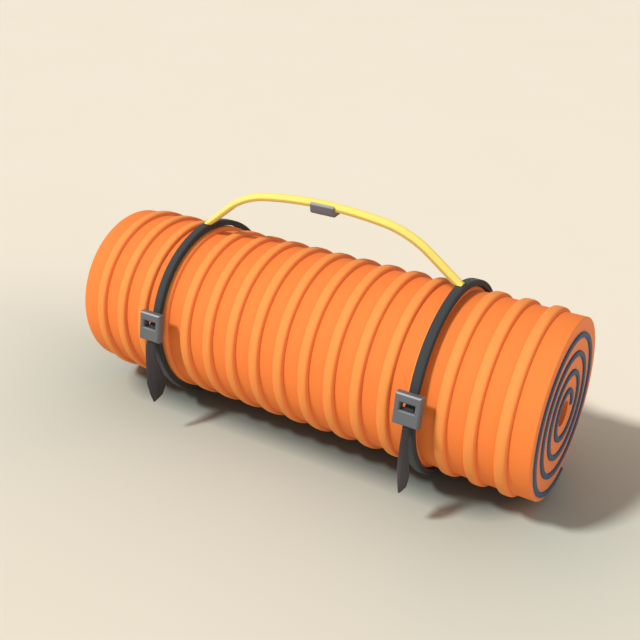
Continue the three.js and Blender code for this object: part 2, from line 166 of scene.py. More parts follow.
def beside_backing(angle, side, gap):
    """A point on the outer (1) or inner (-1) face of the backing, moved off by a gap."""
    return spiral_centre + (backing_middle(angle) + side * (half_backing(angle) + gap)) * ray(angle)


def sweep(start, stop, step):
    """Angles from start to stop, on the multiples of a step between them."""
    sign = 1 if stop > start else -1
    first = round(start / step) * step
    count = int(abs(stop - first) / step) + 1
    between = [first + sign * step * i for i in range(count + 1)]
    clear = [a for a in between if sign * (a - start) > step / 3 and sign * (stop - a) > step / 3]
    return [start] + clear + [stop]


def new_object(name, data):
    """A new object in the scene from a mesh, lamp or camera."""
    made = bpy.data.objects.new(name, data)
    bpy.context.scene.collection.objects.link(made)
    return made


def mesh_piece(name, points, faces):
    """A new piece from points about the roll's middle, with its faces turned outwards."""
    mesh = bpy.data.meshes.new(name)
    mesh.from_pydata([Vector(point) + roll_place for point in points], [], faces)
    shell = bmesh.new()
    shell.from_mesh(mesh)
    bmesh.ops.recalc_face_normals(shell, faces=shell.faces)
    shell.to_mesh(mesh)
    shell.free()
    return new_object(name, mesh)


def use(piece):
    """Makes a piece the only selected one, and the active one."""
    bpy.ops.object.select_all(action="DESELECT")
    piece.select_set(True)
    bpy.context.view_layer.objects.active = piece


def smooth(piece, angle):
    """Smooth shading, with creases sharper than an angle in degrees kept, and big caps flat."""
    use(piece)
    bpy.ops.object.shade_smooth_by_angle(angle=math.radians(angle))
    for face in piece.data.polygons:
        if face.loop_total > 4:
            face.use_smooth = False


def mark_faces(piece, name, wanted):
    """A face attribute that is 1 where a face is wanted and 0 elsewhere."""
    marks = piece.data.attributes.new(name, "FLOAT", "FACE")
    for face, mark in zip(piece.data.polygons, marks.data):
        mark.value = wanted(face)


def hex_colour(code):
    """An sRGB hex colour as linear red, green, blue and alpha."""
    channels = [int(code[i:i + 2], 16) / 255 for i in (1, 3, 5)]
    linear = [c / 12.92 if c <= 0.04045 else ((c + 0.055) / 1.055) ** 2.4 for c in channels]
    return (*linear, 1)


def connect(material, node, links):
    for key, socket in links.items():
        material.node_tree.links.new(socket, node.inputs[key])


def add_node(material, kind, settings=None, links=None):
    """Adds a shader node of a kind, with its properties or inputs set and its inputs linked."""
    node = material.node_tree.nodes.new("ShaderNode" + kind)
    for key, value in (settings or {}).items():
        if isinstance(key, str) and hasattr(node, key):
            setattr(node, key, value)
        else:
            node.inputs[key].default_value = value
    connect(material, node, links or {})
    return node


def new_material(name, **settings):
    """A material and its shader, with plain settings on the shader's own sockets."""
    material = bpy.data.materials.new(name)
    material.use_nodes = True
    shader = material.node_tree.nodes["Principled BSDF"]
    for key, value in settings.items():
        shader.inputs[key.replace("_", " ")].default_value = value
    return material, shader


# Polyethylene foam: the pressed skin is matte with closed cells of about 0.5 mm under it. They
# are drawn 1.6 mm wide so that they show, and the dye wanders a little over a hand's width. The
# ribs' crests are a paler orange, and their creases are painted darker as shade. The cut ends
# are matte.
foam_skin, shader = new_material("pressed_polyethylene_foam", Roughness=0.82, IOR=1.42)
place = add_node(foam_skin, "TexCoord").outputs["Object"]
cells = add_node(foam_skin, "TexNoise",
                 {"Scale": 1 / (1.6 * mm), "Detail": 3, "Roughness": 0.6}, {"Vector": place})
clouds = add_node(foam_skin, "TexNoise", {"Scale": 1 / (90 * mm), "Detail": 2}, {"Vector": place})
# The ribs' tone: a paler orange on the crests, and a painted shade darkening the creases at their
# feet.
crest_tone_and_crease_shade = add_node(foam_skin, "Attribute", {"attribute_name": "crest_tone_and_crease_shade"})
tones = add_node(foam_skin, "ValToRGB", {}, {0: crest_tone_and_crease_shade.outputs["Fac"]})
tones.color_ramp.elements.new(skin_tone)
# The stops: the creases' painted shade, the plain skin, and the paler crests.
for stop, code in zip(tones.color_ramp.elements, ("#D96912", "#FF883B", "#FF9A4B")):
    stop.color = hex_colour(code)
cut_tone = add_node(foam_skin, "Attribute", {"attribute_name": "cut"})
dye = add_node(foam_skin, "Mix", {"data_type": "RGBA", 7: hex_colour("#FF8F54")},
               {0: cut_tone.outputs["Fac"], 6: tones.outputs[0]})
dye_drift = add_node(foam_skin, "MapRange", {3: 0.94, 4: 1}, {0: clouds.outputs["Fac"]})
cloudy = add_node(foam_skin, "VectorMath", {"operation": "SCALE"},
                  {0: dye.outputs[2], "Scale": dye_drift.outputs[0]})
skin_relief = add_node(foam_skin, "Bump", {"Strength": 0.3, "Distance": 0.25 * mm},
                       {"Height": cells.outputs["Fac"]})
connect(foam_skin, shader, {"Base Color": cloudy.outputs[0], "Normal": skin_relief.outputs[0]})


def rib_stations():
    """Places along the roll: (x, share of a rib's height, drop at the cut rim, tone)."""
    half = []
    # The tone follows a rib's height: above the middle it is the paler crest orange, and towards
    # the foot it is the crease's painted shade.
    for share in (0, 0.45, 0.7, 0.84, 0.93, 0.98, 1):
        lift = (1 - share ** rib_flat_top) ** rib_round_side
        half.append((rib_half * share, lift, lift))
    half.append((rib_half + rib_crease, 0, skin_tone))
    whole = [(-x, lift, tone) for x, lift, tone in reversed(half[1:])] + half
    ribs = [(rib_pitch * i + x, lift, 0, tone)
            for i in range(-ribs_per_side, ribs_per_side + 1) for x, lift, tone in whole]
    turns = [math.radians(a) for a in (0, 22, 45, 68, 90)]
    end = [(mat_width / 2 - rim * (1 - math.sin(t)), 0, rim * (1 - math.cos(t)), skin_tone)
           for t in turns]
    start = [(-x, lift, drop, tone) for x, lift, drop, tone in reversed(end)]
    return start + ribs + end


def rolled_foam():
    """The whole layer: the ribbed skin of the last turn, the spiral inside it, and the cut ends."""
    points = []
    faces = []
    tones = {}

    def pair(place):
        points.extend([(-mat_width / 2, *place), (mat_width / 2, *place)])
        return len(points) - 2, len(points) - 1

    inner = [pair(foam_outside(a)) for a in sweep(foam_start, step_start, inner_step)[:-1]]
    rows = []
    for angle in sweep(step_start, mat_end, skin_step):
        rise = ease((angle - step_start) / rib_rise_angle) * ease((mat_end - angle) / skin_step)
        row = []
        for x, lift, drop, tone in rib_stations():
            row.append(len(points))
            tones[len(points)] = mix(skin_tone, tone, rise)
            radius = skin_radius(angle) + rib_height * rise * lift - drop
            points.append((x, *(radius * ray(angle))))
        rows.append(row)
    outline = [beside_backing(a, 1, layer_gap) for a in sweep(mat_end, backing_start, inner_step)]
    outline += [beside_backing(a, -1, layer_gap)
                for a in sweep(backing_start, lip_end, inner_step)]
    outline += [spiral_centre + reach(bore_centre, bore_radius, a) * ray(a)
                for a in sweep(lip_end, foam_start, inner_step)]
    rest = [pair(place) for place in outline]
    for low, high in zip(rows, rows[1:]):
        faces += [(low[i], low[i + 1], high[i + 1], high[i]) for i in range(len(low) - 1)]
    walls = rest + inner
    faces += [(a[0], a[1], b[1], b[0]) for a, b in zip(walls, walls[1:])]
    faces.append((*rows[0], inner[-1][1], inner[-1][0]))
    faces.append((*reversed(rows[-1]), rest[0][0], rest[0][1]))
    for side in (0, 1):
        edge = [row[-side] for row in rows]
        faces.append([p[side] for p in inner] + edge + [p[side] for p in rest])
    piece = mesh_piece("foam_layer", points, faces)
    # Each point's tone: paler on the crests, and painted shade in the creases.
    crest_and_crease_marks = piece.data.attributes.new("crest_tone_and_crease_shade", "FLOAT", "POINT")
    crest_and_crease_marks.data.foreach_set("value", [tones.get(i, skin_tone) for i in range(len(points))])
    mark_faces(piece, "cut", lambda face: abs(face.normal.x) > end_facing)
    return piece


foam_layer = rolled_foam()
smooth(foam_layer, 35)
foam_layer.data.materials.append(foam_skin)
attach(foam_layer, "roll")
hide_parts("mat_foam")


# The mat's backing: a thinner layer of slate blue foam, flame bonded to the orange one before
# the mat is cut, and rolled to the inside. It shows as blue rings at the ends of the roll, where
# the tension of rolling pushes it out a little.
backing_swell = 0.25 * mm
backing_proud = 2 * mm
backing_round = 0.9 * mm


def loft(name, rings):
    """A closed piece through rings of points, each with the same count."""
    count = len(rings[0])
    points = [point for ring in rings for point in ring]
    faces = [list(range(count)), list(range(len(points) - count, len(points)))]
    for start in range(0, len(points) - count, count):
        for i in range(count):
            near = start + i
            far = start + (i + 1) % count
            faces.append((near, far, far + count, near + count))
    return mesh_piece(name, points, faces)


def rolled_backing():
    """The spiral as rings of points along x, with its edges rounded at both ends of the roll."""
    angles = sweep(backing_start + math.degrees(layer_gap / core_radius), mat_end, inner_step)
    turns = [math.radians(a) for a in (0, 30, 60, 90)]
    ends = [(mat_width / 2 + backing_proud - backing_round * (1 - math.sin(t)),
             backing_round * (1 - math.cos(t))) for t in turns]
    rings = []
    for x, inset in [(-x, inset) for x, inset in reversed(ends)] + ends:
        outer = [beside_backing(a, 1, backing_swell - inset) for a in angles]
        inner = [beside_backing(a, -1, backing_swell - inset) for a in reversed(angles)]
        rings.append([(x, *place) for place in outer + inner])
    return loft("backing_layer", rings)


# Cross-linked foam: dyed through, a little denser and smoother than the orange one, and matte.
# Its cells are about 0.3 mm wide and are drawn 1.2 mm wide so that they show.
backing_foam, shader = new_material("cross_linked_foam_slate_blue", Roughness=0.78, IOR=1.42)
place = add_node(backing_foam, "TexCoord").outputs["Object"]
cells = add_node(backing_foam, "TexNoise", {"Scale": 1 / (1.2 * mm), "Detail": 3},
                 {"Vector": place})
dye = add_node(backing_foam, "Mix",
               {"data_type": "RGBA", 6: hex_colour("#425A73"), 7: hex_colour("#4C6580")},
               {0: cells.outputs["Fac"]})
relief = add_node(backing_foam, "Bump", {"Strength": 0.3, "Distance": 0.2 * mm},
                  {"Height": cells.outputs["Fac"]})
connect(backing_foam, shader, {"Base Color": dye.outputs[2], "Normal": relief.outputs[0]})

backing_layer = rolled_backing()
smooth(backing_layer, 40)
backing_layer.data.materials.append(backing_foam)
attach(backing_layer, "roll")
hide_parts("mat_backing")


# The two straps: charcoal polyester webbing folded double along its length and sewn, so that
# each is a thick narrow band. One end is sewn into an eye on the buckle's fixed bar, and the
# other turns up over the floating lock bar.
strap_spacing = 315 * mm
strap_half_width = 5 * mm
strap_thickness = 6.4 * mm
strap_inner = 98.7 * mm
strap_outer = strap_inner + strap_thickness
strap_lift = 1.7 * mm
strap_lift_inner = 0.2 * mm
strap_lift_angle = 14
strap_step = 4
eye_steps = 16
turn_steps = 14
webbing_thickness = 1.8 * mm
edge_groove = 0.7 * mm
layer_share = 0.475
face_crown = 0.05
buckle_angle = 79.05
buckle_height = 32 * mm
band_reach = 0.62 * buckle_height
fixed_bar_radius = 1.3 * mm
fixed_bar_up = -3.6 * mm
fixed_bar_out = 2.8 * mm
lock_bar_radius = 1.5 * mm
lock_bar_up = -13 * mm
lock_bar_out = 3.2 * mm
lock_bar_travel = 1.2 * mm
eye_flap = 6.4 * mm
eye_flap_foot = -0.7 * fixed_bar_up
buckle_out = ray(buckle_angle)
buckle_up = Vector((buckle_out.y, -buckle_out.x))
buckle_root = strap_outer * buckle_out
eye_radius = fixed_bar_radius + layer_gap + webbing_thickness / 2
turn_radius = lock_bar_radius + layer_gap + webbing_thickness / 2
tail_out = lock_bar_out + turn_radius


def at_buckle(out, up):
    """A point (y, z) from its places out of the strap's face and up along the buckle."""
    return buckle_root + out * buckle_out + up * buckle_up


def arc_stops(out, up, radius, start, stop, steps):
    """Stops of single webbing round a bar, from one angle in degrees to another."""
    angles = [math.radians(mix(start, stop, i / steps)) for i in range(steps + 1)]
    places = [at_buckle(out + radius * math.cos(a), up + radius * math.sin(a)) for a in angles]
    return [(place, webbing_thickness / 2) for place in places]


def strap_stops():
    """The strap's middle line as (place, half thickness), from its sewn flap to its free turn."""
    half = webbing_thickness / 2
    ground = roll_place.z

    def joining(share, up):
        """A stop behind the buckle, a share of the way from single webbing to the full band."""
        thick = mix(webbing_thickness, strap_thickness, share) / 2
        sag = strap_outer - math.sqrt(strap_outer ** 2 - up ** 2)
        return at_buckle(-thick - sag, up), thick

    stops = [(at_buckle(layer_gap + half, up), half) for up in (eye_flap, eye_flap_foot)]
    stops += arc_stops(fixed_bar_out, fixed_bar_up, eye_radius, 60, -180, eye_steps)
    stops += [joining(0, buckle_height / 15), joining(0.35, buckle_height / 4)]
    flat = math.degrees(math.acos(ground / strap_outer))
    edge = math.degrees(math.asin(band_reach / strap_outer))
    angles = sweep(buckle_angle - edge, -180 + flat, strap_step) + [-180]
    angles += sweep(-180 - flat, buckle_angle + edge - full_turn, strap_step)
    for angle in angles:
        lift = math.exp(-(angle / strap_lift_angle) ** 2)
        floor_reach = ground / max(math.cos(math.radians(angle + 180)), 1e-9)
        outer = min(strap_outer + strap_lift * lift, floor_reach)
        inner = strap_inner + strap_lift_inner * lift
        stops.append(((outer + inner) / 2 * ray(angle), (outer - inner) / 2))
    stops.append(joining(0.4, -0.56 * buckle_height))
    stops.append((at_buckle(lock_bar_out - turn_radius - half / 2,
                            lock_bar_up - lock_bar_radius / 2), half))
    stops += arc_stops(lock_bar_out, lock_bar_up + lock_bar_travel, turn_radius, 180, 0, turn_steps)
    stops.append((at_buckle(tail_out, -buckle_height / 2 - layer_gap), half))
    return stops


def band_section(wide, half, groove):
    """A band's section as (across, up): two layers with soft edges and a groove between them."""
    turns = [math.radians(a) for a in range(90, -91, -30)]
    right = [(wide - groove * (1 - math.cos(t)), layer_share * half * (1 + math.sin(t)))
             for t in turns]
    right += [(across, -up) for across, up in reversed(right[:-1])]
    flat = [(share * (wide - groove), half * (1 - face_crown * share ** 2))
            for share in (-0.6, 0, 0.6)]
    left = [(-across, -up) for across, up in right]
    return flat + right + [(-across, -up) for across, up in flat] + left


def webbing_piece(name, rings, edge_shares):
    """Webbing through rings of points.

    Its UV map is the distance along and around it, and an attribute holds how much of the edge
    colour each point of a ring has. On the handle's sides and underside that colour is partly
    painted shade.
    """
    piece = loft(name, rings)
    edge_and_shade_share = piece.data.attributes.new("edge_tone_and_side_shade", "FLOAT", "POINT")
    edge_and_shade_share.data.foreach_set("value", edge_shares * len(rings))
    middles = [sum((Vector(p) for p in ring), Vector()) / len(ring) for ring in rings]
    along = [0]
    for a, b in zip(middles, middles[1:]):
        along.append(along[-1] + (b - a).length)
    count = len(rings[0])
    widest = max(rings, key=lambda ring: (Vector(ring[0]) - Vector(ring[count // 2])).length)
    around = [0]
    for i in range(count):
        around.append(around[-1] + (Vector(widest[(i + 1) % count]) - Vector(widest[i])).length)
    layer = piece.data.uv_layers.new(name="weave")
    for face in piece.data.polygons:
        corners = [divmod(piece.data.loops[i].vertex_index, count) for i in face.loop_indices]
        wraps = {step for _, step in corners} >= {0, count - 1} and len(corners) == 4
        for index, (ring, step) in zip(face.loop_indices, corners):
            layer.data[index].uv = (along[ring], around[count if wraps and step == 0 else step])
    return piece


def ribbon_rings(stops, x, half_width, groove):
    """A ring of the band's section at each stop, square to the middle line."""
    rings = []
    for i, (place, half) in enumerate(stops):
        along = (stops[min(i + 1, len(stops) - 1)][0] - stops[max(i - 1, 0)][0]).normalized()
        across = Vector((-along.y, along.x))
        section = band_section(half_width, half, groove * min(1, half / webbing_thickness))
        rings.append([(x + side, *(place + up * across)) for side, up in section])
    return rings


# Polyester webbing: dull charcoal yarn in a plain weave, with a dry sheen along its edges. Its
# threads are 0.6 mm apart and are drawn 1.5 mm apart so that they show. At a scale of 1 a wave
# texture's bands are 0.31416 m apart.
thread_pitch = 1.5 * mm
wave_pitch = 0.31416


def woven(name, dark, light, edge, relief_height):
    """Webbing in two tones of yarn, with an edge colour that is partly painted shade on the handle,
    and a woven relief.
    """
    material, shader = new_material(name, Roughness=0.85, Sheen_Weight=0.1, Sheen_Roughness=0.5)
    cloth = add_node(material, "TexCoord").outputs["UV"]
    waves = [add_node(material, "TexWave",
                      {"bands_direction": way, "Scale": wave_pitch / thread_pitch,
                       "Distortion": 0.4, "Detail": 1},
                      {"Vector": cloth}) for way in ("X", "Y")]
    weave = add_node(material, "Math", {"operation": "SUBTRACT"},
                     {0: waves[0].outputs["Fac"], 1: waves[1].outputs["Fac"]})
    yarn = add_node(material, "Math", {"operation": "ABSOLUTE"}, {0: weave.outputs[0]})
    colour = add_node(material, "Mix",
                      {"data_type": "RGBA", 6: hex_colour(dark), 7: hex_colour(light)},
                      {0: yarn.outputs[0]})
    edge_and_shade_share = add_node(material, "Attribute", {"attribute_name": "edge_tone_and_side_shade"})
    edged = add_node(material, "Mix", {"data_type": "RGBA", 7: hex_colour(edge)},
                     {0: edge_and_shade_share.outputs["Fac"], 6: colour.outputs[2]})
    relief = add_node(material, "Bump", {"Strength": 0.5, "Distance": relief_height},
                      {"Height": yarn.outputs[0]})
    connect(material, shader, {"Base Color": edged.outputs[2], "Normal": relief.outputs[0]})
    return material


strap_weave = woven("polyester_webbing_charcoal", "#303436", "#3E4244", "#2E3133", 0.25 * mm)

# A ring of the band has 3 points on each face and 13 round each folded edge.
band_edges = ([0] * 3 + [1] * 13) * 2
sides = (("left", -1), ("right", 1))
for side, sign in sides:
    rings = ribbon_rings(strap_stops(), sign * strap_spacing / 2, strap_half_width, edge_groove)
    band = webbing_piece(f"{side}_strap_band", rings, band_edges)
    smooth(band, 50)
    band.data.materials.append(strap_weave)
    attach(band, "roll")
    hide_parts(f"{side}_strap")


# The free tails: where the strap leaves the buckle its fold opens out to the full 20 mm or so,
# with the old fold still showing as a crease down the middle. The end is cut to a point with a
# hot knife, which seals it.
tail_length = 70 * mm
tail_point = 21 * mm
tail_shoulder = 12 * mm
tail_neck_half = 3.5 * mm
tail_neck_length = 4.5 * mm
tail_shift = 0.3 * mm
tail_forms = {
    "left": {"top_half": 7.1 * mm, "half": 10.6 * mm, "yaw": 40, "lean": 10.5 * mm,
             "opening": (11.7 * mm, 50 * mm), "shoulders": (-0.64, 0.7), "tip": -0.16},
    "right": {"top_half": 3.6 * mm, "half": 9.4 * mm, "yaw": -27, "lean": 3.2 * mm,
              "opening": (5.8 * mm, 60 * mm), "shoulders": (-0.5, 0.75), "tip": 0},
}
tail_fold = 2.4 * mm
tail_edge = 0.6 * mm
tail_rounding = 0.9 * mm
tail_rows = 18
tip_bluntness = 0.3
edge_thinness = 0.35
crease_softness = 0.05


def tail_rings(x, form):
    """Rings down a tail. Widths are shares of its half width, from its left edge to its right."""
    cut = tail_length - tail_point
    drops = [tail_rounding * (1 - math.sin(math.radians(a))) for a in (60, 30, 0)]
    drops += [mix(tail_rounding, cut, i / tail_rows) for i in range(1, tail_rows + 1)]
    drops += [cut + tail_shoulder * s for s in (0.25, 0.5, 0.75, 1)]
    drops += [mix(cut + tail_shoulder, tail_length, s) for s in (0.3, 0.6, 0.85, 1)]
    blunt = tip_bluntness * webbing_thickness / form["half"]
    opening_start, opening_end = form["opening"]
    rings = []
    for drop in drops:
        open_share = ease((drop - opening_start) / (opening_end - opening_start))
        turn = math.radians(form["yaw"] * open_share)
        neck = mix(tail_neck_half, form["top_half"], min(drop / tail_neck_length, 1))
        width = mix(neck, form["half"], open_share)
        down = min(max((drop - cut) / tail_shoulder, 0), 1)
        last = min(max((drop - cut - tail_shoulder) / (tail_point - tail_shoulder), 0), 1)
        limits = [mix(mix(side, shoulder, down), form["tip"] + side * blunt, last)
                  for side, shoulder in zip((-1, 1), form["shoulders"])]
        top = 1
        if drop < tail_rounding:
            top = math.sin(math.acos(max(0, 1 - drop / tail_rounding)))
        half = webbing_thickness / 2 * top
        low, high = limits
        edge = tail_edge / width
        stations = [low, low + edge, -0.5, -0.12, 0, 0.12, 0.5, high - edge, high]
        stations = [min(max(station, low), high) for station in stations]
        ring = []
        for face in (1, -1):
            order = stations if face < 0 else stations[::-1]
            for i, station in enumerate(order):
                thin = edge_thinness if i in (0, len(order) - 1) else 1
                crest = 0.5 - math.hypot(station, crease_softness)
                out = face * half * thin + tail_fold * open_share * crest
                across = station * width
                place = at_buckle(tail_out - across * math.sin(turn) + out * math.cos(turn),
                                  -buckle_height / 2 - 2 * layer_gap - drop)
                aside = tail_shift + form["lean"] * open_share
                ring.append((x + aside + across * math.cos(turn) + out * math.sin(turn), *place))
        rings.append(ring)
    return rings


# The tails' webbing is worn at the buckle and browner, with paler cut edges. These are the first
# and the last of the 9 points on each face of a ring.
tail_weave = woven("polyester_webbing_worn_charcoal", "#2A2424", "#352E2E", "#3E3737", 0.25 * mm)
tail_edges = ([1] + [0] * 7 + [1]) * 2
for side, sign in sides:
    rings = tail_rings(sign * strap_spacing / 2, tail_forms[side])
    strip = webbing_piece(f"{side}_tail_strip", rings, tail_edges)
    smooth(strip, 50)
    strip.data.materials.append(tail_weave)
    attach(strip, f"{side}_tail")
    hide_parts(f"{side}_strap_tail")


# The buckles: moulded acetal frames in mid grey, with a window that a fingertip pushes through,
# a pocket behind for the webbing, a bar moulded in one for the sewn eye, and two slots for the
# lock bar. The front and back edges are chamfered and every corner is eased.
buckle_width = 27.5 * mm
buckle_depth = 10 * mm
buckle_bevel = 1.5 * mm
window_width = 16 * mm
window_height = 7.8 * mm
window_up = 2.6 * mm
window_bevel = 1.4 * mm
pocket_width = 21 * mm
front_plate = 2.8 * mm
lock_bar_engage = 1 * mm
corner_ease = 0.4 * mm
cut_overrun = 1 * mm
buckle_front = layer_gap + buckle_depth
tiny = 0.01 * mm


def block(width, height, depth, up, out):
    """A new cube at its size and place in (x, up, out) axes, with nothing else selected."""
    bpy.ops.object.select_all(action="DESELECT")
    bpy.ops.mesh.primitive_cube_add(size=1, location=(0, up, out))
    made = bpy.context.object
    made.scale = (width, height, depth)
    bpy.ops.object.transform_apply()
    return made


def rod(radius, length, up, out, facets):
    """A new cylinder along x, with nothing else selected."""
    bpy.ops.object.select_all(action="DESELECT")
    bpy.ops.mesh.primitive_cylinder_add(vertices=facets, radius=radius, depth=length,
                                        location=(0, up, out), rotation=(0, math.pi / 2, 0))
    bpy.ops.object.transform_apply()
    return bpy.context.object


def edit(piece, kind, wanted):
    """Opens a piece in edit mode with only the edges or faces selected that are wanted."""
    use(piece)
    bpy.ops.object.mode_set(mode="EDIT")
    bpy.ops.mesh.select_mode(type=kind)
    bpy.ops.mesh.select_all(action="DESELECT")
    shape = bmesh.from_edit_mesh(piece.data)
    for element in shape.edges if kind == "EDGE" else shape.faces:
        if wanted(element):
            element.select_set(True)
    bmesh.update_edit_mesh(piece.data)


def bevel_edges(piece, wanted, width, segments):
    edit(piece, "EDGE", wanted)
    bpy.ops.mesh.bevel(offset=width, segments=segments, affect="EDGES")
    bpy.ops.object.mode_set(mode="OBJECT")


def apply_boolean(piece, tool, operation):
    use(piece)
    cut = piece.modifiers.new("cut", "BOOLEAN")
    cut.operation = operation
    cut.solver = "EXACT"
    cut.object = tool
    bpy.ops.object.modifier_apply(modifier="cut")
    bpy.data.objects.remove(tool)


def ease_corners(piece, width):
    """Rounds every edge that turns by more than 30 degrees."""
    use(piece)
    bevel = piece.modifiers.new("ease", "BEVEL")
    bevel.width = width
    bevel.segments = 2
    bevel.limit_method = "ANGLE"
    bevel.angle_limit = math.radians(30)
    bpy.ops.object.modifier_apply(modifier="ease")


def seat_on_buckle(piece, x):
    """Moves a piece made in (x, up, out) axes to its place on the buckle, inside its mesh."""
    axes = Matrix(((1, 0, 0, x),
                   (0, buckle_up.x, buckle_out.x, buckle_root.x),
                   (0, buckle_up.y, buckle_out.y, buckle_root.y),
                   (0, 0, 0, 1)))
    piece.data.transform(Matrix.Translation(roll_place) @ axes)


def copy_piece(piece, name):
    twin = new_object(name, piece.data.copy())
    twin.data.name = name
    return twin


def moulded_buckle():
    """One buckle in (x, up, out) axes: a chamfered block with its openings cut, and its bar."""
    body = block(buckle_width, buckle_height, buckle_depth, 0, layer_gap + buckle_depth / 2)
    bevel_edges(body, lambda e: abs(e.verts[0].co.z - e.verts[1].co.z) < tiny, buckle_bevel, 1)
    pocket_depth = buckle_depth - front_plate
    pocket_top = window_up - window_height / 2
    pocket_height = buckle_height / 2 + pocket_top + cut_overrun
    mouth = block(window_width, window_height, window_bevel + cut_overrun, window_up,
                  buckle_front + (cut_overrun - window_bevel) / 2)
    edit(mouth, "FACE", lambda f: f.calc_center_median().z > buckle_front)
    grown = 2 * (window_bevel + cut_overrun)
    bpy.ops.transform.resize(value=(1 + grown / window_width, 1 + grown / window_height, 1))
    bpy.ops.object.mode_set(mode="OBJECT")
    slot_depth = 2 * (lock_bar_radius + layer_gap)
    for tool in (
        block(window_width, window_height, 2 * buckle_depth, window_up, buckle_depth / 2),
        mouth,
        block(pocket_width, pocket_height, pocket_depth + cut_overrun,
              pocket_top - pocket_height / 2, layer_gap + (pocket_depth - cut_overrun) / 2),
        block(pocket_width + 2 * (lock_bar_engage + layer_gap), slot_depth + lock_bar_travel,
              slot_depth, lock_bar_up + lock_bar_travel / 2, lock_bar_out),
    ):
        apply_boolean(body, tool, "DIFFERENCE")
    fixed_bar = rod(fixed_bar_radius, pocket_width + cut_overrun, fixed_bar_up, fixed_bar_out, 24)
    apply_boolean(body, fixed_bar, "UNION")
    ease_corners(body, corner_ease)
    # Painted highlight: the upward chamfers above the window are coloured paler, as if lit from
    # above.
    mark_faces(body, "painted_highlight", lambda face: 0.3 < face.normal.y < 0.95
               and face.center.y > window_up + window_height)
    return body


# Acetal: injection moulded against a spark-eroded tool, which leaves an even satin grain about
# 0.1 mm wide, drawn 0.8 mm wide so that it shows. Its upward chamfers get a painted highlight.
def moulded(name, code, painted_highlight_code, roughness):
    """A moulded plastic whose colour and gloss wander a little, with a painted highlight on its
    marked faces.
    """
    material, shader = new_material(name, Roughness=roughness, IOR=1.48)
    place = add_node(material, "TexCoord").outputs["Object"]
    grain = add_node(material, "TexNoise", {"Scale": 1 / (0.8 * mm), "Detail": 2},
                     {"Vector": place})
    worn = add_node(material, "MapRange", {3: roughness - 0.06, 4: roughness + 0.08},
                    {0: grain.outputs["Fac"]})
    patch = add_node(material, "TexNoise", {"Scale": 1 / (9 * mm), "Detail": 3}, {"Vector": place})
    darker = [0.92 * channel for channel in hex_colour(code)[:3]] + [1]
    colour = add_node(material, "Mix", {"data_type": "RGBA", 6: darker, 7: hex_colour(code)},
                      {0: patch.outputs["Fac"]})
    painted_highlight = add_node(material, "Attribute", {"attribute_name": "painted_highlight"})
    edged = add_node(material, "Mix", {"data_type": "RGBA", 7: hex_colour(painted_highlight_code)},
                     {0: painted_highlight.outputs["Fac"], 6: colour.outputs[2]})
    relief = add_node(material, "Bump", {"Strength": 0.2, "Distance": 0.08 * mm},
                      {"Height": grain.outputs["Fac"]})
    connect(material, shader, {"Base Color": edged.outputs[2], "Roughness": worn.outputs[0],
                               "Normal": relief.outputs[0]})
    return material


# The second colour is the painted highlight on the buckles' upward chamfers.
acetal = moulded("injection_moulded_acetal_grey", "#66686C", "#9C9EA0", 0.48)
first_buckle = moulded_buckle()
first_buckle.data.materials.append(acetal)
for side, sign in sides:
    buckle = copy_piece(first_buckle, f"{side}_buckle")
    seat_on_buckle(buckle, sign * strap_spacing / 2)
    smooth(buckle, 30)
    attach(buckle, "roll")
    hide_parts(f"{side}_buckle_frame")
bpy.data.objects.remove(first_buckle)


# The lock bars: drawn steel pins with chamfered ends that float in the buckle's slots. The
# running webbing turns over them, and its pull jams them against the frame.
pin_chamfer = 0.4 * mm


def lock_pin():
    half_length = pocket_width / 2 + lock_bar_engage
    pin = rod(lock_bar_radius, 2 * half_length, lock_bar_up, lock_bar_out, 32)
    bevel_edges(pin, lambda e: all(abs(v.co.x) > half_length - tiny for v in e.verts),
                pin_chamfer, 2)
    return pin


# Drawn steel, zinc plated: bright, with fine draw marks along the pin. They are about 0.1 mm
# apart and are drawn 0.4 mm apart so that they show.
steel, shader = new_material("drawn_steel_zinc_plated", Metallic=1, Roughness=0.34)
place = add_node(steel, "TexCoord").outputs["Object"]
stretched = add_node(steel, "Mapping", {"Scale": (0.05, 1, 1)}, {"Vector": place})
draw_marks = add_node(steel, "TexNoise", {"Scale": 1 / (0.4 * mm), "Detail": 2},
                      {"Vector": stretched.outputs[0]})
plating = add_node(steel, "Mix",
                   {"data_type": "RGBA", 6: hex_colour("#A2A5A8"), 7: hex_colour("#B9BCBE")},
                   {0: draw_marks.outputs["Fac"]})
connect(steel, shader, {"Base Color": plating.outputs[2]})
first_pin = lock_pin()
first_pin.data.materials.append(steel)
for side, sign in sides:
    pin = copy_piece(first_pin, f"{side}_lock_pin")
    seat_on_buckle(pin, sign * strap_spacing / 2)
    smooth(pin, 30)
    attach(pin, f"{side}_lock")
    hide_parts(f"{side}_lock_bar")
bpy.data.objects.remove(first_pin)


# The stitching of the straps' eyes: rows of dark polyester thread through the flap and the strap
# under it, behind the buckle's window. Each stitch is a short round bar, a third of it sunk.
thread_radius = 0.28 * mm
stitch_fill = 0.8
stitch_rise = 0.3 * thread_radius
stitch_end = 0.7 * thread_radius
eye_tack_width = 7 * mm
eye_tack_height = 3.6 * mm


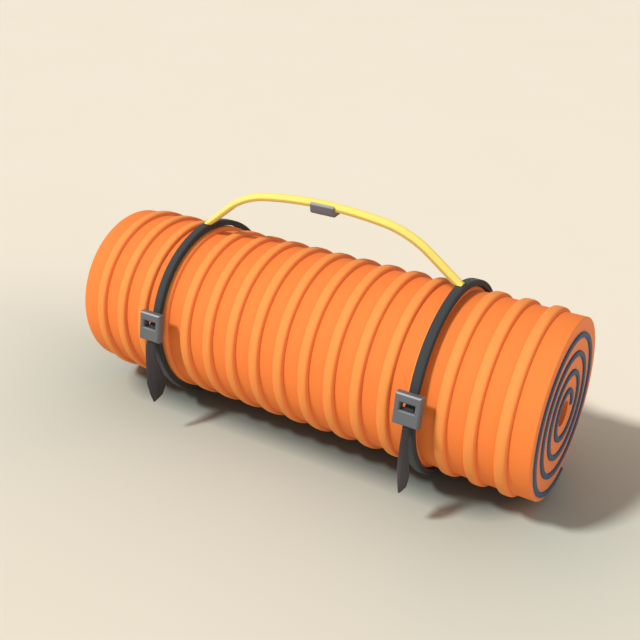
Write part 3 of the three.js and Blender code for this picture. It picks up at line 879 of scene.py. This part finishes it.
def stitch_rows(name, width, height, rows, columns, slant):
    """A patch of stitches in (x, up, out) axes about the origin, lying on out = 0."""
    length = stitch_fill * width / columns
    stitch = rod(thread_radius, length, 0, 0, 8)
    bevel_edges(stitch, lambda e: all(abs(v.co.x) > length / 2 - tiny for v in e.verts),
                stitch_end, 2)
    patch = bmesh.new()
    for row in range(rows):
        for column in range(columns):
            x = width * ((column + 0.5) / columns - 0.5)
            up = height * ((row + 0.5) / rows - 0.5)
            turn = Matrix.Rotation(math.radians(slant if row % 2 else -slant), 4, "Z")
            before = set(patch.verts)
            patch.from_mesh(stitch.data)
            added = [v for v in patch.verts if v not in before]
            lie = Matrix.Translation((x, up, stitch_rise)) @ turn
            bmesh.ops.transform(patch, matrix=lie, verts=added)
    mesh = bpy.data.meshes.new(name)
    patch.to_mesh(mesh)
    patch.free()
    bpy.data.objects.remove(stitch)
    return new_object(name, mesh)


# Polyester thread: twisted and waxed, so it has a slight shine. Its twist is about 0.5 mm long.
def thread(name, dark, light):
    material, shader = new_material(name, Roughness=0.6, Sheen_Weight=0.2)
    place = add_node(material, "TexCoord").outputs["Object"]
    twist = add_node(material, "TexWave",
                     {"bands_direction": "DIAGONAL", "Scale": wave_pitch / (0.5 * mm)},
                     {"Vector": place})
    colour = add_node(material, "Mix",
                      {"data_type": "RGBA", 6: hex_colour(dark), 7: hex_colour(light)},
                      {0: twist.outputs["Fac"]})
    connect(material, shader, {"Base Color": colour.outputs[2]})
    return material


dark_thread = thread("polyester_thread_charcoal", "#26282A", "#3A3C3E")
first_patch = stitch_rows("eye_patch", eye_tack_width, eye_tack_height, 4, 4, 12)
first_patch.data.materials.append(dark_thread)
for side, sign in sides:
    patch = copy_piece(first_patch, f"{side}_eye_stitches")
    patch.data.transform(Matrix.Translation((0, (eye_flap + eye_flap_foot) / 2,
                                             layer_gap + webbing_thickness)))
    seat_on_buckle(patch, sign * strap_spacing / 2)
    smooth(patch, 40)
    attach(patch, "roll")
    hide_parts(f"{side}_eye_tack")
bpy.data.objects.remove(first_patch)


# The carry handle: yellow webbing folded round a soft core, so that it is thick and stiff. Its
# upper edges are pressed to slopes, and its ends run down onto the straps and are cut flat there.
handle_half_width = 5.5 * mm
handle_half_thickness = 3.75 * mm
handle_chamfer = 4 * mm
handle_height = 53.9 * mm
handle_arc = 488 * mm
handle_corner = 109.4 * mm
handle_leg_slope = math.radians(38.6)
handle_lean = math.radians(2.2)
handle_foot = 156.2 * mm
handle_hinge = 152.2 * mm
handle_tip = 159.4 * mm
handle_fold = 0.8 * mm
leg_start = 3.5 * mm
arch_steps = 24
corner_steps = 10
leg_steps = 20
strap_top = strap_outer + strap_lift
hinge_rise = (handle_foot - handle_hinge) * math.tan(handle_leg_slope)


def eased(corners, radius):
    """A closed outline in which three points stand for each corner."""
    spots = []
    for i, corner in enumerate(corners):
        before = corners[i - 1]
        after = corners[(i + 1) % len(corners)]
        start = corner + radius * (before - corner).normalized()
        end = corner + radius * (after - corner).normalized()
        spots += [start, (start + 2 * corner + end) / 4, end]
    return spots


def handle_spots():
    """Half of the arch as (x, height above the straps, slope, upright cut), from its middle."""
    spare = handle_arc - handle_corner
    across = handle_foot - handle_corner * math.sin(handle_leg_slope)
    down = handle_height - handle_arc + handle_corner * math.cos(handle_leg_slope)
    middle = across * math.cos(handle_leg_slope) + down * math.sin(handle_leg_slope)
    leg = middle + math.sqrt(middle ** 2 - across ** 2 - down ** 2 + spare ** 2)
    turn = math.atan2(across - leg * math.cos(handle_leg_slope),
                      leg * math.sin(handle_leg_slope) - down)
    spots = []
    for i in range(arch_steps + 1):
        a = turn * i / arch_steps
        height = handle_height - handle_arc * (1 - math.cos(a))
        spots.append((handle_arc * math.sin(a), height, a, False))
    knee_x, knee_h = spots[-1][:2]
    for i in range(1, corner_steps + 1):
        a = mix(turn, handle_leg_slope, i / corner_steps)
        spots.append((knee_x + handle_corner * (math.sin(a) - math.sin(turn)),
                      knee_h - handle_corner * (math.cos(turn) - math.cos(a)), a, False))
    first = spots[-1][0] + leg_start
    for i in range(leg_steps + 1):
        x = mix(first, handle_tip, i / leg_steps)
        spots.append((x, (handle_foot - x) * math.tan(handle_leg_slope), handle_leg_slope, True))
    return spots


def handle_ring(x, height, slope, upright):
    """The webbing's outline at a spot. Past the hinge it stands straight and the strap cuts it."""
    w = handle_half_width
    t = handle_half_thickness
    c = handle_chamfer
    corners = ((-w, -t), (w, -t), (w, t - c), (w - c, t), (c - w, t), (-w, t - c))
    ring = []
    for back, up in eased([Vector(corner) for corner in corners], handle_fold):
        point = Vector((x, back, height + up / math.cos(slope)))
        if not upright:
            point = Vector((x + up * math.sin(slope), back, height + up * math.cos(slope)))
        if abs(x) <= handle_hinge:
            hinge_line = Vector((x, 0, hinge_rise))
            point = hinge_line + Matrix.Rotation(handle_lean, 3, "X") @ (point - hinge_line)
        ring.append((point.x, point.y, strap_top + max(point.z, layer_gap)))
    return ring


# Yellow polyester webbing in a close plain weave, drawn with threads 1.5 mm apart. Its sides and
# its underside are painted a deeper ochre, partly as the edge yarn's colour and partly as their
# shade. The list below gives the share of ochre at the points of a ring, which has three points
# for each corner.
handle_weave = woven("polyester_webbing_yellow", "#FFE066", "#FFEC82", "#D2B45C", 0.2 * mm)
half_arch = handle_spots()
arch = [(-x, height, -slope, upright) for x, height, slope, upright in reversed(half_arch[1:])]
arch += half_arch
handle_ochre_shade = [1] * 6 + [1, 0.5, 0] + [0] * 6 + [0, 0.5, 1]
carry_handle = webbing_piece("carry_handle", [handle_ring(*spot) for spot in arch], handle_ochre_shade)
smooth(carry_handle, 50)
carry_handle.data.materials.append(handle_weave)
hinge = roll_place + Vector((0, 0, strap_top + hinge_rise))
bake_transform(carry_handle)
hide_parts("handle_webbing", "left_handle_tab", "right_handle_tab")


# The stitching of the handle's ends: three short rows of ochre polyester thread on the slope of
# each foot, which sew the webbing down to the strap.
tack_along = 156.1 * mm
tab_tack_width = 4.6 * mm
tab_tack_height = 2.4 * mm
pale_thread = thread("polyester_thread_ochre", "#C9AE4C", "#E0C766")
first_patch = stitch_rows("tab_patch", tab_tack_width, tab_tack_height, 3, 3, 0)
first_patch.data.materials.append(pale_thread)
for side, sign in sides:
    patch = copy_piece(first_patch, f"{side}_tab_stitches")
    tack = Vector((sign * (tack_along + handle_half_thickness * math.sin(handle_leg_slope)), 0,
                   strap_top + (handle_foot - tack_along) * math.tan(handle_leg_slope)
                   + handle_half_thickness * math.cos(handle_leg_slope)))
    patch.data.transform(Matrix.Translation(roll_place + tack)
                         @ Matrix.Rotation(sign * handle_leg_slope, 4, "Y"))
    smooth(patch, 40)
    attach(patch, "roll")
    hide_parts(f"{side}_bar_tack")
bpy.data.objects.remove(first_patch)


# The grip: a moulded cradle in grey polypropylene that clips over the webbing from below, so
# that the load spreads over the fingers. Its front wall has a lip over the webbing's edge.
grip_length = 28.4 * mm
grip_wall = 1.7 * mm
grip_depth = 5.8 * mm
grip_chamfer = 2.4 * mm
grip_lip = 1.1 * mm
grip_ease = 0.6 * mm
grip_offset = 1.4 * mm


def grip_cradle():
    """The grip along x, from a flat outline in (y, z) that is extruded to its length."""
    w = handle_half_width + 2 * layer_gap
    seat = -handle_half_thickness - 2 * layer_gap
    low = seat - grip_depth
    outer = w + grip_wall
    c = grip_chamfer
    shoulder = handle_half_thickness - handle_chamfer + layer_gap
    lip = shoulder + grip_lip
    corners = [
        (w, seat), (w, shoulder), (w + grip_wall / 2, shoulder), (outer, shoulder - grip_wall / 2),
        (outer, low + c), (outer - c, low), (c - outer, low), (-outer, low + c),
        (-outer, shoulder), (0.8 * grip_wall - outer, lip + grip_lip),
        (0.6 * grip_lip - w, lip + 0.7 * grip_lip), (grip_lip - w, lip), (-w, shoulder), (-w, seat),
    ]
    bpy.ops.object.select_all(action="DESELECT")
    bpy.ops.mesh.primitive_circle_add(vertices=len(corners), radius=outer, fill_type="NGON")
    body = bpy.context.object
    for vertex, (across, up) in zip(body.data.vertices, corners):
        vertex.co = (-grip_length / 2, across, up)
    edit(body, "FACE", lambda face: True)
    bpy.ops.mesh.extrude_region_move(TRANSFORM_OT_translate={"value": (grip_length, 0, 0)})
    bpy.ops.mesh.select_all(action="SELECT")
    bpy.ops.mesh.normals_make_consistent(inside=False)
    bpy.ops.object.mode_set(mode="OBJECT")
    ease_corners(body, grip_ease)
    # Painted highlight: the grip's upward slopes are coloured paler, as if lit from above.
    mark_faces(body, "painted_highlight", lambda face: 0.2 < face.normal.z < 0.95)
    return body


grip_angle = math.asin(grip_offset / handle_arc)
grip_place = (Matrix.Translation(hinge) @ Matrix.Rotation(handle_lean, 4, "X")
              @ Matrix.Translation((grip_offset, 0, handle_height - hinge_rise
                                    - handle_arc * (1 - math.cos(grip_angle))))
              @ Matrix.Rotation(grip_angle, 4, "Y"))
grip = grip_cradle()
grip.name = "grip_cradle"
grip.data.transform(grip_place)
smooth(grip, 30)
# The second colour is the painted highlight on the grip's upward slopes.
polypropylene = moulded("injection_moulded_polypropylene_grey", "#65666C", "#98999A", 0.5)
grip.data.materials.append(polypropylene)
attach(grip, "grip")
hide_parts("handle_grip")


# The studio: a plain pale floor, a soft key light from the front left, broad weak ones from the
# left and from the right end, an even pale surround, and the camera at the photograph's place.
# The floor's matt cream paint carries a painted shade that greys it towards the roll in front, and
# a darker painted contact shadow where the roll rests.
floor_width = 20
floor_mottle = 333 * mm
shade_half_length = 200 * mm
shade_start = 40 * mm
shade_reach = 180 * mm
shade_back = 200 * mm
contact_half = 45 * mm
contact_end = 75 * mm
contact_shadow_tone = 0.4
bpy.ops.object.select_all(action="DESELECT")
bpy.ops.mesh.primitive_plane_add(size=floor_width)
floor = bpy.context.object
floor.name = "studio_floor"
floor_paint, shader = new_material("floor_matt_cream_paint", Roughness=0.9)
place = add_node(floor_paint, "TexCoord").outputs["Object"]
mottle = add_node(floor_paint, "TexNoise", {"Scale": 1 / floor_mottle, "Detail": 2},
                  {"Vector": place})
cream = add_node(floor_paint, "Mix",
                 {"data_type": "RGBA", 6: hex_colour("#EFE5D1"), 7: hex_colour("#F2E8D6")},
                 {0: mottle.outputs["Fac"]})

# The distance from a line under the roll, which runs shade_half_length to either side.
spot = add_node(floor_paint, "SeparateXYZ", {}, {0: place})
aside = add_node(floor_paint, "Math", {"operation": "ABSOLUTE"}, {0: spot.outputs[0]})
past = add_node(floor_paint, "MapRange",
                {1: shade_half_length, 2: shade_half_length + 1, 3: 0, 4: 1}, {0: aside.outputs[0]})
away = add_node(floor_paint, "Math", {"operation": "POWER", 1: 2}, {0: spot.outputs[1]})
apart = add_node(floor_paint, "Math", {"operation": "MULTIPLY_ADD"},
                 {0: past.outputs[0], 1: past.outputs[0], 2: away.outputs[0]})
distance = add_node(floor_paint, "Math", {"operation": "SQRT"}, {0: apart.outputs[0]})

# The painted shade fades with that distance and ends behind the roll.
fading = add_node(floor_paint, "Math",
                  {"operation": "MULTIPLY_ADD", 1: -1 / shade_reach, 2: shade_start / shade_reach},
                  {0: distance.outputs[0]})
near = add_node(floor_paint, "Math", {"operation": "EXPONENT"}, {0: fading.outputs[0]})
front = add_node(floor_paint, "MapRange", {1: shade_back, 2: 0, 3: 0, 4: 1}, {0: spot.outputs[1]})
shade = add_node(floor_paint, "Math", {"operation": "MULTIPLY", "use_clamp": True},
                 {0: near.outputs[0], 1: front.outputs[0]})
# The painted shade multiplies the cream by a cool grey.
shaded_cream = add_node(floor_paint, "Mix",
                 {"data_type": "RGBA", "blend_type": "MULTIPLY", 7: hex_colour("#AFC7CD")},
                 {0: shade.outputs[0], 6: cream.outputs[2]})
# The painted contact shadow darkens the floor most near the line where the roll rests.
contact_shadow = add_node(floor_paint, "MapRange",
                   {1: contact_half, 2: contact_end, 3: contact_shadow_tone, 4: 1},
                   {0: distance.outputs[0]})
contact_shadowed = add_node(floor_paint, "VectorMath", {"operation": "SCALE"},
                   {0: shaded_cream.outputs[2], "Scale": contact_shadow.outputs[0]})
connect(floor_paint, shader, {"Base Color": contact_shadowed.outputs[0]})
floor.data.materials.append(floor_paint)


def add_sun(name, travel, strength, spread):
    """A sun by the way its light travels, its strength and its width in degrees."""
    lamp = bpy.data.lights.new(name, "SUN")
    lamp.energy = strength
    lamp.angle = math.radians(spread)
    new_object(name, lamp).rotation_euler = Vector(travel).to_track_quat("-Z", "Y").to_euler()


add_sun("key_light", (0.4, 0.48, -0.78), 2.5, 8)
add_sun("side_light", (0.8, 0.35, -0.5), 0.3, 40)
add_sun("end_light", (-0.93, 0.3, -0.12), 0.7, 50)

world = bpy.data.worlds.new("studio_surround")
bpy.context.scene.world = world
world.use_nodes = True
world.node_tree.nodes["Background"].inputs["Color"].default_value = hex_colour("#FFFDF8")
world.node_tree.nodes["Background"].inputs["Strength"].default_value = 0.33

# The camera's place and aim fit the outline, the ribs and the end of the roll.
camera_data = bpy.data.cameras.new("camera")
camera_data.lens = 50
camera_data.sensor_width = 36
camera = new_object("camera", camera_data)
camera.location = (0.4521, roll_place.y - 0.7474, 0.5899)
aim = Vector((-0.0064, roll_place.y, 0.126))
camera.rotation_euler = (aim - camera.location).to_track_quat("-Z", "Y").to_euler()
bpy.context.scene.camera = camera
bpy.context.scene.view_settings.view_transform = "Standard"
